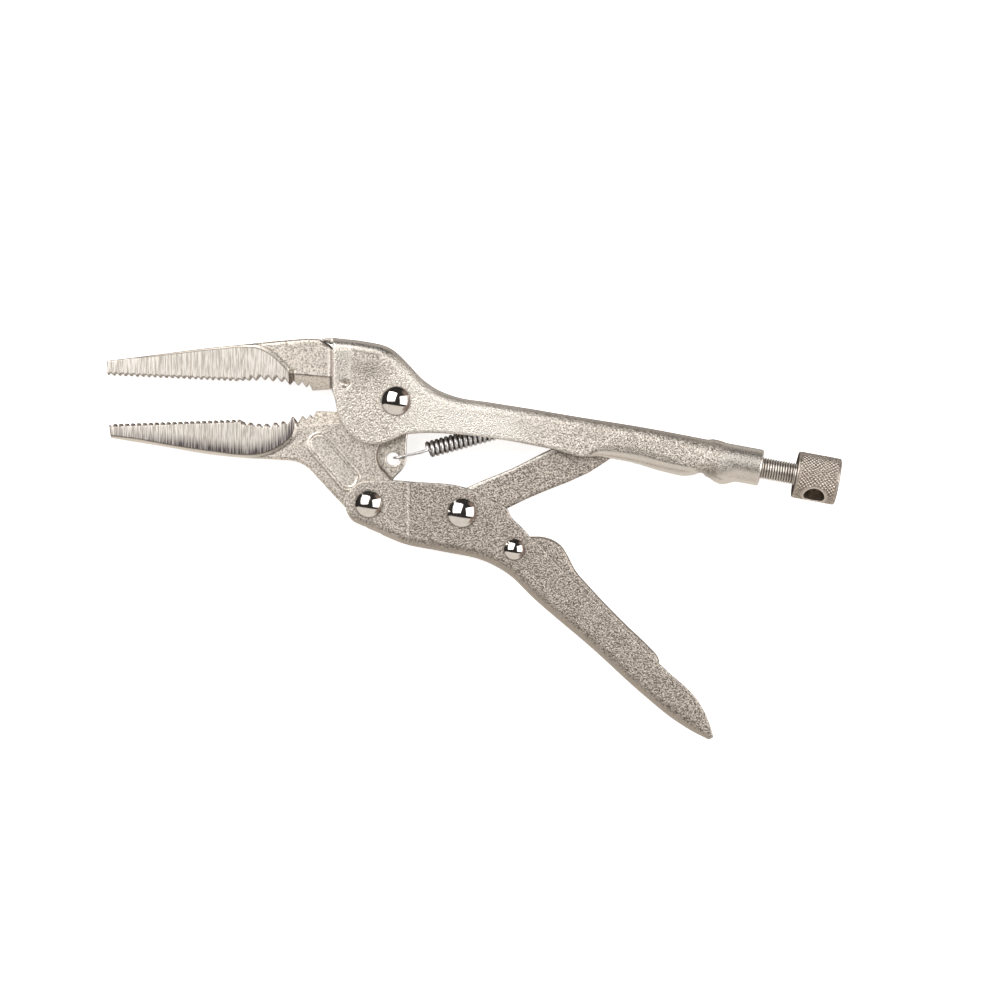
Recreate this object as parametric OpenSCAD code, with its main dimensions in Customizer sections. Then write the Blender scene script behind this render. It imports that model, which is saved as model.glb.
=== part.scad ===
// Long-nose locking pliers, 150 mm class, lying on their side.
// X runs from the jaw tips to the tail, Y points from the lower handle to the upper one, Z is the thickness.
// Outlines are drawn about the main pivot and then moved so that the whole tool stands centred on Z = 0.

/* [Linkage] */
// Jaw and handle pivot, seen from the main pivot
jaw_pivot = [-6.2, -23.6];
// Toggle pivot on the lower handle
toggle_pivot = [15.1, -25.6];
// Far end of the toggle link, against the screw
toggle_end = [50.7, -9.1];
// Pivot of the release lever
release_pivot = [27.1, -34.0];
// Hole for the spring in the lower jaw
spring_hole = [-0.8, -13.2];
// Downward slope of the adjusting screw, degrees
screw_slope = 10.5; // [8:0.1:13]

/* [Sheet metal] */
// Thickness of the upper handle's sheet
sheet = 1.7; // [1.4:0.1:2.5]
// Outer width of the upper handle round the jaws
channel_width = 10.1; // [9:0.1:12]
// Outer width of the upper handle at the tail
tail_width = 8.4; // [7:0.1:10]
// Thickness of the lower handle's sheet
lower_sheet = 1.7; // [1.2:0.1:2.2]
// Outer width of the lower handle's ears
ear_width = 10.1; // [9:0.1:12]
// Outer width of the lower handle behind the ears
lower_width = 8.9; // [8:0.1:10]

/* [Jaws] */
// Thickness of the jaws at the root
jaw_thickness = 6.4; // [5.5:0.1:7.5]
// Thickness of the jaws at the tip
nose_thickness = 5.2; // [4:0.1:6]
// Thickness of the lower jaw's tongue
tongue = 2.8; // [2:0.1:3.5]
// Pitch of the fine serrations
fine_pitch = 1.35; // [1:0.05:2]
// Pitch of the coarse serrations
coarse_pitch = 1.86; // [1.5:0.02:2.5]

/* [Adjusting screw] */
// Thread size
thread_d = 5; // [4:0.5:6]
// Thread pitch
pitch = 0.6; // [0.5:0.05:1]
// Knob diameter
knob_d = 11; // [9:0.1:13]
// Knob length
knob_length = 10; // [8:0.1:12]
// Cross hole for a tommy bar
cross_hole_d = 4.8; // [4:0.1:5.5]
// Tilt of the cross hole round the screw, degrees from straight up
cross_hole_tilt = 56; // [0:1:90]

/* [Rivets] */
// Radial clearance of a running pivot
running = 0.05; // [0.02:0.01:0.1]
// Main rivet shank diameter
main_d = 5.2; // [4:0.1:6]
// Main rivet head diameter
main_head = 6.7; // [6:0.1:8]
// Handle rivet shank diameter
side_d = 4.6; // [4:0.1:5]
// Handle rivet head diameter
side_head = 6.2; // [5:0.1:7]
// Release rivet shank diameter
small_d = 3; // [2.5:0.1:4]
// Release rivet head diameter
small_head = 4.4; // [4:0.1:5]

/* [Return spring] */
// Wire diameter
wire = 0.8; // [0.6:0.05:1]
// Mean diameter of the coils
coil_d = 3.1; // [2.5:0.1:3.6]
// Number of coils
coils = 13; // [8:1:16]

/* [Hidden] */
$fn = 48;

main_pivot = [0, 0];
// Head height of the main rivet, which also sets how high the tool lies
main_dome = 1.9;
mid = channel_width / 2 + main_dome;
centre = [18.045, -31.55];
half_channel = channel_width / 2;
half_inner = half_channel - sheet;
half_ear = ear_width / 2;
half_lower = lower_width / 2;
lower_inner = half_lower - lower_sheet;
axis_out = [cos(screw_slope), -sin(screw_slope)];
spring_end = [27.4, -5.6];
screw_start = 2.5;
knob_start = 41.7;

nickel = [0.78, 0.76, 0.72];
steel = [0.72, 0.72, 0.72];
bright = [0.85, 0.85, 0.86];
dark = [0.45, 0.44, 0.44];

function unit(v) = v / norm(v);
function left(v) = [-v[1], v[0]];

// Rounds the corners of an outline given as [x, y, radius]
function corner(a, b, c, r, n) =
    let (u = unit([a[0] - b[0], a[1] - b[1]]), v = unit([c[0] - b[0], c[1] - b[1]]))
    let (turn = acos(max(-1, min(1, u * v))))
    r <= 0 || turn > 176 ? [[b[0], b[1]]] :
    let (reach = min(r / tan(turn / 2), 0.48 * norm([a[0] - b[0], a[1] - b[1]]),
                     0.48 * norm([c[0] - b[0], c[1] - b[1]])))
    let (rr = reach * tan(turn / 2), sweep = 180 - turn)
    let (m = [b[0], b[1]] + unit(u + v) * rr / sin(turn / 2))
    let (s = [b[0], b[1]] + u * reach - m, e = [b[0], b[1]] + v * reach - m)
    [for (i = [0 : n]) m + (sin(sweep * (1 - i / n)) * s + sin(sweep * i / n) * e) / sin(sweep)];
function soften(p, n = 3) =
    let (k = len(p))
    [for (i = [0 : k - 1]) each corner(p[(i + k - 1) % k], p[i], p[(i + 1) % k],
                                       len(p[i]) > 2 ? p[i][2] : 0, n)];
// Moves an open line of points sideways by d
function shifted(p, d) =
    [for (i = [0 : len(p) - 1])
        let (a = p[max(i - 1, 0)], b = p[min(i + 1, len(p) - 1)])
        [p[i][0], p[i][1]] + left(unit([b[0] - a[0], b[1] - a[1]])) * d];
// Saw teeth from a to b, with the roots at distance deep to the left
function teeth(a, b, step, deep) =
    let (count = round(norm(b - a) / step), d = (b - a) / count, up = left(unit(b - a)) * deep)
    [for (i = [0 : count - 1]) each [a + d * i, a + d * (i + 0.5) + up]];
function on_screw(s) = toggle_end + axis_out * s;

module placed() {
    translate([-centre[0], -centre[1], mid])
        children();
}

module slab(half, points) {
    linear_extrude(height = 2 * half, center = true)
        polygon(points);
}

// A plan outline, x against half thickness, cut right through in Y
module plan(points) {
    rotate([90, 0, 0])
        linear_extrude(height = 200, center = true)
            polygon(concat(points, [for (i = [len(points) - 1 : -1 : 0]) [points[i][0], -points[i][1]]]));
}

module post(at, d, half) {
    translate([at[0], at[1], -half])
        cylinder(d = d, h = 2 * half);
}

// Rivet with a domed head on each side: half is the half length of the shank between the heads
module rivet(at, d, head, half, dome) {
    r = (pow(head / 2, 2) + pow(dome, 2)) / (2 * dome);
    translate([at[0], at[1], 0]) {
        cylinder(d = d, h = 2 * half, center = true);
        for (side = [0, 180])
            rotate([side, 0, 0])
                translate([0, 0, half])
                    rotate_extrude()
                        polygon(concat([[0, 0]], [for (i = [0 : 4])
                            let (a = asin(head / 2 / r) * (1 - i / 4))
                            [r * sin(a), dome - r + r * cos(a)]]));
    }
}

// Along the adjusting screw: z is the distance out from the link's end
module along_screw(s) {
    translate([toggle_end[0] + axis_out[0] * s, toggle_end[1] + axis_out[1] * s, 0])
        rotate([0, 0, -screw_slope])
            rotate([0, 90, 0])
                children();
}

top_line = [[-13.7, 14.5], [-7.45, 13.8], [-1.5, 12.3], [3.1, 8.2], [5.9, 5.2], [9.3, 2.8], [12.3, 1.5],
            [15.5, 0.6], [19.9, 0.1], [23.8, -0.6], [32.6, -2.0], [40.2, -3.3], [57, -6.0], [75, -9.4]];
lip_line = [[46.1, -12.8], [50.2, -13.5], [56, -14.8], [62, -16.3], [66.4, -17.1], [72.8, -17.6]];

module upper_handle() {
    color(nickel)
    placed()
    difference() {
        union() {
            difference() {
                intersection() {
                    slab(half_channel, soften(concat([[-14.5, 13.4]], top_line,
                        [[74.6, -18.0], [69.8, -16.9, 6], [66.4, -17.1]],
                        [[62, -16.3], [56, -14.7], [50.2, -13.4], [46.1, -12.7], [43.8, -12.8, 4],
                         [40.3, -12.4, 6], [35.6, -11.0], [29.7, -9.7], [19.9, -8.1], [10.7, -7.0, 20],
                         [2.6, -7.2, 8], [-3.6, -11.2, 6], [-11.2, -9.2, 6], [-13.4, -2.4, 6],
                         [-14.7, 2.7, 2]])));
                    plan([[-20, half_channel], [18, half_channel], [52, 4.65], [74, tail_width / 2],
                          [90, tail_width / 2]]);
                }
                // inside of the fold
                intersection() {
                    slab(half_channel, concat([[-30, 12.9], [-14.5, 12.86]],
                        shifted(top_line, -sheet), [[72.2, -15.6]],
                        [for (i = [4 : -1 : 0]) [lip_line[i][0], lip_line[i][1] + 1.5]],
                        [[44, -11.5], [44, -40], [-30, -40]]));
                    plan([[-40, half_inner], [18, half_inner], [52, 4.65 - sheet],
                          [72.2, tail_width / 2 - sheet + 0.2], [72.3, 2.2]]);
                }
                // slot left between the curled lips
                intersection() {
                    slab(half_channel, [[44, -8], [74.8, -13], [74.8, -22], [44, -20]]);
                    plan([[43, 2.85], [53.5, 2.75], [60, 1.6], [70, 0.4]]);
                }
            }
            // round tube for the thread
            along_screw(0)
                rotate_extrude()
                    polygon([[0, 20.8], [tail_width / 2, 20.8], [tail_width / 2, 25.6],
                             [tail_width / 2 + 0.35, 26.2], [tail_width / 2 + 0.3, 27.2],
                             [tail_width / 2, 28], [tail_width / 2, 33.1],
                             [tail_width / 2 - 0.6, 33.7], [0, 33.7]]);
        }
        // threaded bore, and room for the screw in front of it
        along_screw(18)
            cylinder(d = thread_d + 2 * running, h = 20);
        along_screw(1.2)
            cylinder(d = thread_d + 0.6, h = 20);
        post(main_pivot, main_d, 9);
        post(spring_end, 1.6, 4.25);
        // staked dimples that hold the jaw
        for (side = [-1, 1])
            translate([-11.6, 4.0, side * (half_channel - 0.7)])
                cylinder(r1 = side > 0 ? 0.4 : 1.3, r2 = side > 0 ? 1.3 : 0.4, h = 1.4, center = true);
    }
}

module upper_jaw() {
    color(nickel)
    placed()
    difference() {
        union() {
            // nose, shoulder and cutter half
            intersection() {
                slab(jaw_thickness, concat(
                    teeth([-66.3, 5.9], [-36.9, 4.6], fine_pitch, 0.55),
                    teeth([-36.9, 4.6], [-24.5, 3.9], coarse_pitch, 1.0),
                    [[-24.5, 3.8], [-23.6, 4.7], [-22.6, 3.6], [-21.7, 4.5], [-20.7, 3.2], [-20, 4.0],
                     [-19.3, 2.5], [-14.7, 2.8], [-8.6, 2.8], [1.7, 6.7], [-2.2, 10.5]],
                    [[-7.65, 12.08], [-14.5, 12.86], [-14.5, 13.9], [-17.6, 14.5], [-25.4, 14.0],
                     [-36.4, 12.9], [-45.2, 12.0], [-54.4, 10.8], [-66.1, 9.3]]));
                plan([[-70, nose_thickness / 2 - 0.15], [-66, nose_thickness / 2],
                      [-33, nose_thickness / 2 + 0.4], [-25, jaw_thickness / 2], [-15.5, jaw_thickness / 2],
                      [-14.6, half_inner], [10, half_inner]]);
            }
            // cheeks round the main rivet
            slab(half_inner, soften([[-13.3, 8], [-13.3, 2.8], [-8.1, 2.8], [-8.4, -0.5, 4], [-6.3, -6, 5],
                                     [0, -7.6, 6], [5.2, -4.6, 4], [6.4, 0.6, 3], [1.8, 6.6], [-2.2, 10.3]], 4));
        }
        // slot for the lower jaw's tongue
        post(main_pivot, 14.6, tongue / 2 + 0.3);
        slab(tongue / 2 + 0.3, [[-9.6, 2.4], [10, 2.4], [10, -12], [-9.6, -12]]);
        post(main_pivot, main_d, 9);
        // bevels of the cutting edge
        for (side = [-1, 1])
            translate([-17.5, 2.4, side * jaw_thickness / 2])
                rotate([side * 38, 0, 0])
                    cube([6.4, 3.2, 2.2], center = true);
    }
}

module lower_jaw() {
    color(nickel)
    placed()
    difference() {
        union() {
            difference() {
                intersection() {
                    slab(jaw_thickness, concat(
                        [[-65.9, -5.2], [-65.6, -8.4], [-54.6, -10.2], [-42.8, -12.2], [-34.8, -13.0],
                         [-26.9, -13.4], [-23, -13.8], [-21, -14.7], [-17.8, -17.8], [-15, -20.9]],
                        [for (i = [0 : 9]) let (a = 205 + i * 18) jaw_pivot + 4.9 * [cos(a), sin(a)]],
                        [[-1.7, -19.6], [-0.9, -18.2], [-2.4, -16.4], [-3.9, -14.6], [-4.4, -12.4],
                         [-3.7, -10.4], [-3.7, -2], [-13.2, -2.4], [-18.4, -2.2]],
                        [[-19.1, -3.7], [-19.8, -2.9], [-20.7, -4.1], [-21.6, -3.2], [-22.6, -4.9],
                         [-23.8, -3.4]],
                        teeth([-24.6, -5.1], [-36.0, -4.2], coarse_pitch, 1.0),
                        teeth([-36.0, -4.2], [-65.9, -5.2], fine_pitch, 0.55)));
                    plan([[-70, nose_thickness / 2 - 0.15], [-66, nose_thickness / 2],
                          [-33, nose_thickness / 2 + 0.4], [-24, jaw_thickness / 2 - 0.05],
                          [10, jaw_thickness / 2 - 0.05]]);
                }
                // room for the upper jaw's cheeks
                post(main_pivot, 17.8, 9);
            }
            // tongue with its eye and the spring tab
            post(main_pivot, 11, tongue / 2);
            slab(tongue / 2, soften([[-8.6, -3.0, 4], [-4.4, 2.0, 3], [4.6, 0, 3], [4.6, -5.2, 4],
                                     [2.0, -8.0, 3], [2.5, -14.0, 4], [0.2, -17.4, 2], [-1.6, -19.4, 2],
                                     [-8, -20], [-12, -14], [-12, -6]], 4));
        }
        post(main_pivot, main_d + 2 * running, 9);
        post(jaw_pivot, side_d + 2 * running, 9);
        post(spring_hole, 3.0, 9);
        // shallow blank cartouche on each face
        for (side = [-1, 1])
            translate([0, 0, side * (jaw_thickness / 2 - 0.05)])
                difference() {
                    cartouche(2.6);
                    cartouche(2.05);
                }
        // bevels of the cutting edge
        for (side = [-1, 1])
            translate([-16.3, -2.1, side * jaw_thickness / 2])
                rotate([-side * 38, 0, 0])
                    cube([5.6, 3.2, 2.2], center = true);
    }
}

module cartouche(r) {
    a = [-17.3, -10.3];
    b = [-10.9, -17.4];
    tilt = atan2(b[1] - a[1], b[0] - a[0]);
    linear_extrude(height = 0.5, center = true)
        polygon(concat([for (i = [0 : 8]) a + r * [cos(tilt + 90 + i * 22.5), sin(tilt + 90 + i * 22.5)]],
                       [for (i = [0 : 8]) b + r * [cos(tilt - 90 + i * 22.5), sin(tilt - 90 + i * 22.5)]]));
}

web_line = [[-3.4, -30.6], [1.4, -32.6], [10, -34.4], [20.8, -36.9], [25.6, -39.6], [31.5, -45.2], [44.6, -56.4],
            [57.4, -68.0], [63.6, -73.0], [68.4, -76.0], [71.6, -77.6]];

module lower_handle() {
    color(nickel)
    placed()
    difference() {
        union() {
            // ears over the jaw
            slab(half_ear, concat(
                [for (i = [0 : 8]) let (a = 95 + i * 20) jaw_pivot + 5.4 * [cos(a), sin(a)]],
                [[-3.4, -30.6], [1.4, -32.6], [2.9, -32.95], [4.1, -33.2], [4.1, -18.5], [2.9, -18.4],
                 [-0.7, -18.1]]));
            // channel behind the ears
            slab(half_lower, soften(concat(
                [[2.9, -18.4], [7.7, -18.7, 10], [13.5, -19.2, 8], [16.8, -20.1, 5], [25.3, -24.7, 2],
                 [26.9, -27.2, 3], [35.3, -35.7], [48.2, -48.2], [62.5, -62.2], [68.2, -68.2, 5],
                 [71.2, -72.4, 6], [72.8, -76.9]],
                [for (i = [len(web_line) - 1 : -1 : 2]) web_line[i]], [[2.9, -32.95]])));
        }
        // inside of the fold: wide between the ears, then narrower
        slab(jaw_thickness / 2 + 0.15, [[-20, -10], [1.6, -10], [1.6, -30.9], [-3.6, -28.85], [-9, -27.5],
                                        [-12, -30], [-20, -30]]);
        slab(lower_inner, concat([[-1, -10], [80, -10], [80, -72], [72.6, -74.6]],
                                 [for (i = [9 : -1 : 1]) shifted(web_line, lower_sheet)[i]]));
        // the web starts behind the jaw's round end
        slab(half_lower - 1.2, [[-16, -20], [-1.2, -20], [-1.2, -29.4], [-4.4, -29.6], [-4.4, -40],
                                [-16, -40]]);
        post(jaw_pivot, side_d, 9);
        post(toggle_pivot, side_d, 9);
        post(release_pivot, small_d, 9);
    }
}

module toggle_link() {
    along = unit(toggle_end - toggle_pivot);
    up = left(along);
    far = norm(toggle_end - toggle_pivot);
    color(nickel)
    placed()
    difference() {
        union() {
            slab(2.3, soften([for (p = [[-3.9, 3.2, 3], [-1.2, 4.4, 4], [30.5, 4.4, 6], [36.5, 2.0, 4],
                                        [far + 1.75, 1.75, 1.7], [far + 1.75, -1.75, 1.7], [35.4, -3.3, 5],
                                        [-1.2, -3.35, 4], [-3.9, -2.8, 2.6]])
                                   let (q = toggle_pivot + along * p[0] + up * p[1])
                                   [q[0], q[1], p[2]]], 4));
        }
        post(toggle_pivot, side_d + 2 * running, 9);
    }
}

module release_lever() {
    color(nickel)
    placed()
    difference() {
        slab(2.1, soften([[22.9, -31.6, 1.2], [25.2, -30.4, 1.5], [28.4, -31.4, 1.5], [31.2, -31.0, 0.8],
                          [36.1, -31.7, 1.2], [39.2, -34.9, 2], [41.2, -38.8, 3], [48.6, -47.0],
                          [58.0, -56.2, 4], [60.6, -59.6, 1], [59.6, -60.6, 0.6], [47.6, -49.4], [36.8, -40.6, 4],
                          [30.6, -37.4, 3], [25.4, -36.8, 2.5], [22.9, -33.4, 1]], 3));
        post(release_pivot, small_d + 2 * running, 9);
    }
}

module adjusting_screw() {
    stop = knob_start + knob_length / 2 - cross_hole_d / 2 - 0.4;
    first = 33.9;
    rings = floor((knob_start - 0.3 - first) / pitch);
    root = thread_d / 2 - 0.45;
    color(bright)
    placed()
    along_screw(0)
        rotate_extrude()
            polygon(concat([[0, screw_start + 1.2], [1.5, screw_start + 1.2], [1.5, screw_start + 2.9],
                            [2.1, screw_start + 2.9], [thread_d / 2, screw_start + 3.4]],
                           [for (i = [0 : rings - 1]) each
                               [[thread_d / 2, first + pitch * i], [root, first + pitch * (i + 0.45)],
                                [thread_d / 2, first + pitch * (i + 0.9)]]],
                           [[thread_d / 2, stop], [0, stop]]));
}

module screw_knob() {
    r = knob_d / 2;
    color(nickel)
    placed()
    difference() {
        along_screw(knob_start)
            rotate_extrude()
                polygon([[0, 0], [r - 1.1, 0], [r - 0.5, 0.4], [r, 1.2], [r, knob_length - 0.9],
                         [r - 0.8, knob_length], [0, knob_length]]);
        along_screw(knob_start - 1)
            cylinder(d = thread_d, h = 1 + knob_length / 2 - cross_hole_d / 2 - 0.4);
        // cross hole, square to the screw and tilted towards the lower handle
        along_screw(knob_start + knob_length / 2)
            rotate([0, 0, cross_hole_tilt])
                rotate([0, 90, 0])
                    cylinder(d = cross_hole_d, h = 3 * r, center = true);
    }
}

module screw_tip_cap() {
    color(steel)
    placed()
    along_screw(screw_start)
        rotate_extrude()
            polygon([[0, 0], [2.0, 0], [2.4, 0.4], [2.4, 2.6], [1.5 + running, 2.6], [1.5 + running, 1.1], [0, 1.1]]);
}

module main_rivet() {
    color(bright)
    placed()
    rivet(main_pivot, main_d, main_head, half_channel, main_dome);
}

module jaw_rivet() {
    color(bright)
    placed()
    rivet(jaw_pivot, side_d, side_head, half_ear, 1.8);
}

module toggle_rivet() {
    color(bright)
    placed()
    rivet(toggle_pivot, side_d, side_head, half_lower, 1.8);
}

module release_rivet() {
    color(bright)
    placed()
    rivet(release_pivot, small_d, small_head, half_lower, 1.3);
}

// Extension spring: a hook in the jaw, close coils, and a hook round the anchor pin
module return_spring() {
    a = spring_hole;
    b = spring_end;
    start = [6.6, -11.4];
    finish = b - unit(b - start) * 3.0;
    ahead = unit(finish - start);
    side = left(ahead);
    run = norm(finish - start);
    steps = 12;
    r = coil_d / 2;
    centre_line = concat(
        [[a[0] + 2.6, a[1] + 0.5, -1.95]],
        [for (i = [0 : 6]) let (t = -90 - i * 30)
            [a[0] + 1.2 + 0.9 * cos(t), a[1] + 0.25, 1.95 * sin(t)]],
        [[a[0] + 4.6, a[1] + 1.05, 1.9], [start[0] - 1.2, start[1] - 0.5, 1.6]],
        [for (i = [0 : coils * steps])
            let (t = i * 360 / steps, s = run * i / (coils * steps), p = start + ahead * s + side * r * sin(t))
            [p[0], p[1], r * cos(t)]],
        [for (i = [0 : 6]) let (t = 180 - i * 40, q = b + ahead * 1.35 * cos(t) + side * 1.35 * sin(t))
            [q[0], q[1], i < 1 ? 0.5 : 0]]);
    n = len(centre_line);
    sides = 6;
    function tangent(i) = unit(centre_line[min(i + 1, n - 1)] - centre_line[max(i - 1, 0)]);
    function ring(i) =
        let (t = tangent(i), ref = abs(t[2]) > 0.85 ? [ahead[0], ahead[1], 0] : [0, 0, 1])
        let (u = unit(cross(t, ref)), v = cross(t, u))
        [for (k = [0 : sides - 1])
            centre_line[i] + wire / 2 * (u * cos(k * 360 / sides) + v * sin(k * 360 / sides))];
    color(dark)
    placed()
    polyhedron(
        points = [for (i = [0 : n - 1]) each ring(i)],
        faces = concat(
            [[for (k = [0 : sides - 1]) k]],
            [for (i = [0 : n - 2]) for (k = [0 : sides - 1])
                let (a = i * sides + k, b = i * sides + (k + 1) % sides)
                each [[a, a + sides, b + sides], [a, b + sides, b]]],
            [[for (k = [sides - 1 : -1 : 0]) (n - 1) * sides + k]]));
}

module spring_anchor_pin() {
    color(steel)
    placed()
    post(spring_end, 1.6, 4.2);
}

upper_handle();
upper_jaw();
lower_jaw();
lower_handle();
toggle_link();
release_lever();
adjusting_screw();
screw_knob();
screw_tip_cap();
main_rivet();
jaw_rivet();
toggle_rivet();
release_rivet();
return_spring();
spring_anchor_pin();
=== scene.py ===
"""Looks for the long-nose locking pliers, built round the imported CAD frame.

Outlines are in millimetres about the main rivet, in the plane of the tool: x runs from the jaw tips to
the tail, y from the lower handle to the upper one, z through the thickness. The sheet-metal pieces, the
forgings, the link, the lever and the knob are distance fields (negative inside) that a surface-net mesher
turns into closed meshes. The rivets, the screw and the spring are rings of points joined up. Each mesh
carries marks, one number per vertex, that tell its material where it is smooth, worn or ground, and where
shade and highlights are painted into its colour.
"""

import math

import bpy
import numpy as np
from mathutils import Matrix, Vector


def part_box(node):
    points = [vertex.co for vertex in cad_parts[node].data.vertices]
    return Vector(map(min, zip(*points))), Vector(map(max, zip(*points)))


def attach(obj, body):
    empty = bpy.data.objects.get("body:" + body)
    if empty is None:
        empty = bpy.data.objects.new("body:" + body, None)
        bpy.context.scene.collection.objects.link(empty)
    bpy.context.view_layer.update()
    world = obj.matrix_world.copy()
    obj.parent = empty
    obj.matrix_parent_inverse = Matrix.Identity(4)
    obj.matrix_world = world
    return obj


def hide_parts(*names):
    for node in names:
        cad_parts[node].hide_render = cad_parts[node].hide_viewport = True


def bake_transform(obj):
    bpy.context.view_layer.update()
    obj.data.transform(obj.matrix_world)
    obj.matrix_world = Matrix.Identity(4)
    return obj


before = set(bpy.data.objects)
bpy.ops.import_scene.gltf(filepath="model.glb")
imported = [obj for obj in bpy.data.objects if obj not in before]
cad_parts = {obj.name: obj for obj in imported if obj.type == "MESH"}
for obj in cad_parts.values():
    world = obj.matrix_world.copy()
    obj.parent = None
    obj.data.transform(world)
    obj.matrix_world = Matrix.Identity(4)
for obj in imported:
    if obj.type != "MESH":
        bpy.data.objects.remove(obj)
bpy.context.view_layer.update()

MM = 0.001
rivet_low, rivet_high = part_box("main_rivet")
PIVOT = np.array((rivet_low + rivet_high) / 2)

# ---- places, in mm about the main rivet
MAIN = np.array((0.0, 0.0))
JAW = np.array((-6.2, -23.6))
TOGGLE = np.array((15.1, -25.6))
LINK_END = np.array((50.7, -9.1))
RELEASE = np.array((27.1, -34.0))
SPRING_HOLE = np.array((-0.8, -13.2))
SPRING_END = np.array((27.4, -5.6))
SCREW_SLOPE = math.radians(10.5)
OUT = np.array((math.cos(SCREW_SLOPE), -math.sin(SCREW_SLOPE)))
UP = np.array((math.sin(SCREW_SLOPE), math.cos(SCREW_SLOPE)))

# shank radius, head radius, height of the face under the head, height of the dome
MAIN_RIVET = (2.6, 3.3, 5.05, 1.9)
JAW_RIVET = (2.3, 3.1, 5.05, 1.8)
TOGGLE_RIVET = (2.3, 3.35, 4.45, 1.8)
RELEASE_RIVET = (1.5, 2.4, 4.45, 1.4)
PLAY = 0.05             # a moving piece's bore is this much wider than the shank, in radius

SHEET = 1.7             # gauge of the handles
CHANNEL = 5.05          # half the width of the handles at the main and jaw rivets
TONGUE = 1.4            # half the thickness of the lower jaw's tongue
SCREW_RADIUS, SCREW_PITCH, THREAD_DEPTH = 2.5, 0.6, 0.36
TUBE_RADIUS = 4.2       # outside of the tube that holds the screw
TUBE_FRONT, TUBE_END = 21.5, 33.7       # along the screw, from the toggle link's end
KNOB_START, KNOB_LENGTH, KNOB_RADIUS = 41.7, 10.0, 5.5
KNOB_HOLE_RADIUS = 2.4
KNOB_HOLE_TILT = math.radians(56)


# ---- outlines
def curve(points, n=5):
    """A smooth open line through the points."""
    p = np.array(points, float)
    run = np.diff(p, axis=0)
    d = np.linalg.norm(run, axis=1)
    slope = run / d[:, None]
    m = np.empty_like(p)
    m[0], m[-1] = slope[0], slope[-1]
    w = (d[:-1] / (d[:-1] + d[1:]))[:, None]
    m[1:-1] = slope[:-1] * (1 - w) + slope[1:] * w
    t = np.arange(n)[:, None] / n
    a, b = 2 * t**3 - 3 * t**2 + 1, t**3 - 2 * t**2 + t
    c, e = 3 * t**2 - 2 * t**3, t**3 - t**2
    parts = [a * p[i] + b * d[i] * m[i] + c * p[i + 1] + e * d[i] * m[i + 1] for i in range(len(d))]
    return np.vstack(parts + [p[-1:]])


def arc(centre, r, start, end):
    t = np.radians(np.linspace(start, end, 24))
    return np.array(centre) + r * np.stack([np.cos(t), np.sin(t)], 1)


def joined(*parts):
    return np.vstack(parts)


def scallops(a, b, pitch, deep):
    """Serrations from a to b: the tips lie on the line and the hollows reach deep to its left."""
    a, b = np.array(a), np.array(b)
    length = np.linalg.norm(b - a)
    count = round(length / pitch)
    along = (b - a) / length
    left = np.array((-along[1], along[0]))
    t = np.arange(count * 6 + 1) / (count * 6)
    depth = deep * np.sin(math.pi * ((t * count) % 1)) ** 0.8
    return a + (b - a) * t[:, None] + left * depth[:, None]


# ---- distance fields
class Grid:
    """The points in millimetres at which a field is worked out."""

    def __init__(self, low, high, step):
        self.low, self.step = np.array(low, float), np.array(step, float)
        n = np.ceil((np.array(high) - self.low) / self.step).astype(int) + 1
        axes = [self.low[i] + self.step[i] * np.arange(n[i]) for i in range(3)]
        self.x, self.y = (v[:, :, None] for v in np.meshgrid(axes[0], axes[1], indexing="ij"))
        self.z = axes[2][None, None, :]

    def half(self):
        """x, y and the distance from the middle plane, since most pieces are the same on both sides."""
        return self.x, self.y, np.abs(self.z)


def poly(points, x, y):
    """Signed distance to a closed outline."""
    p = np.asarray(points, float)
    best = np.full(x.shape, 1e9)
    inside = np.zeros(x.shape, bool)
    for (ax, ay), (bx, by) in zip(p, np.roll(p, -1, axis=0)):
        ex, ey = bx - ax, by - ay
        wx, wy = x - ax, y - ay
        t = np.clip((wx * ex + wy * ey) / (ex * ex + ey * ey + 1e-12), 0, 1)
        np.minimum(best, (wx - ex * t) ** 2 + (wy - ey * t) ** 2, out=best)
        if by != ay:
            inside ^= ((ay > y) != (by > y)) & (x < ex * (y - ay) / ey + ax)
    d = np.sqrt(best)
    return np.where(inside, -d, d)


def line_sd(points, x, y):
    """Distance to an open line."""
    best = np.full(np.broadcast(x, y).shape, 1e9)
    for (ax, ay), (bx, by) in zip(points[:-1], points[1:]):
        ex, ey = bx - ax, by - ay
        t = np.clip(((x - ax) * ex + (y - ay) * ey) / (ex * ex + ey * ey + 1e-12), 0, 1)
        best = np.minimum(best, (x - ax - ex * t) ** 2 + (y - ay - ey * t) ** 2)
    return np.sqrt(best)


def both(a, b, r):
    """Intersection with a rounded edge."""
    return np.minimum(np.maximum(a, b), -r) + np.hypot(np.maximum(a + r, 0), np.maximum(b + r, 0))


def either(a, b, r):
    """Union with a rounded inner corner."""
    return np.maximum(np.minimum(a, b), r) - np.hypot(np.maximum(r - a, 0), np.maximum(r - b, 0))


def step01(v, low, high):
    """Rises smoothly from 0 at low to 1 at high."""
    t = np.clip((v - low) / (high - low), 0, 1)
    return t * t * (3 - 2 * t)


def fade(v, low, high):
    """Falls smoothly from 1 at low to 0 at high."""
    return 1 - step01(v, low, high)


def bell(v, width):
    """1 where v is 0, and next to nothing beyond twice the width."""
    return np.exp(-((v / width) ** 2))


def clip01(v):
    return np.clip(v, 0, 1)


def ramp(x, xs, ys):
    return np.interp(x, xs, ys)


def hole(x, y, at, r):
    return np.hypot(x - at[0], y - at[1]) - r


def without(f, *cuts):
    """The field f with sharp-edged cuts taken out of it."""
    for cut in cuts:
        f = np.maximum(f, -cut)
    return f


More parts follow.
